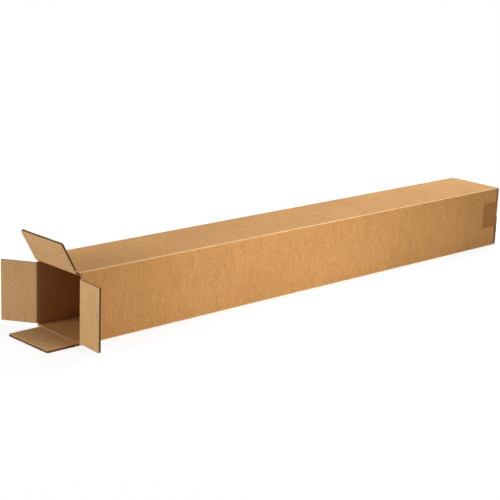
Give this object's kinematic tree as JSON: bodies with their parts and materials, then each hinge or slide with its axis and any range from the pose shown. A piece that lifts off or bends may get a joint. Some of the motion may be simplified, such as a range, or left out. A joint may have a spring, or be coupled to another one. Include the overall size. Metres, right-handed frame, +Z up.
{
  "type": "long shipping box",
  "caption": "Long square corrugated cardboard shipping box, taped shut at one end and open at the other, with hinged end flaps.",
  "frame": {"origin": "middle of the tube's underside, on the surface that the box lies on", "axes": "+X along the box towards its closed end, +Y from the near side to the far side, +Z up"},
  "size_m": [1.036, 0.208, 0.1572],
  "materials": {
    "kraft_board": "matt brown kraft paper over flutes",
    "packing_tape": "thin brown tape with a soft gloss"
  },
  "bodies": {
    "box": {"box_body": "kraft_board", "sealing_tape": "packing_tape"},
    "top_flap": {"top_flap": "kraft_board"},
    "bottom_flap": {"bottom_flap": "kraft_board"},
    "near_flap": {"near_flap": "kraft_board"},
    "far_flap": {"far_flap": "kraft_board"}
  },
  "joints": [
    {"name": "top_flap_fold", "type": "hinge", "parent": "box", "child": "top_flap", "pos_m": [-0.4909, 0, 0.11], "axis": [0, -1, 0], "range_deg": [-114, 151]},
    {"name": "bottom_flap_fold", "type": "hinge", "parent": "box", "child": "bottom_flap", "pos_m": [-0.4909, 0, 0], "axis": [0, 1, 0], "range_deg": [-175, 90]},
    {"name": "near_flap_fold", "type": "hinge", "parent": "box", "child": "near_flap", "pos_m": [-0.4865, -0.055, 0.055], "axis": [0, 0, -1], "range_deg": [-90, 175]},
    {"name": "far_flap_fold", "type": "hinge", "parent": "box", "child": "far_flap", "pos_m": [-0.4865, 0.055, 0.055], "axis": [0, 0, 1], "range_deg": [-120, 145]}
  ]
}
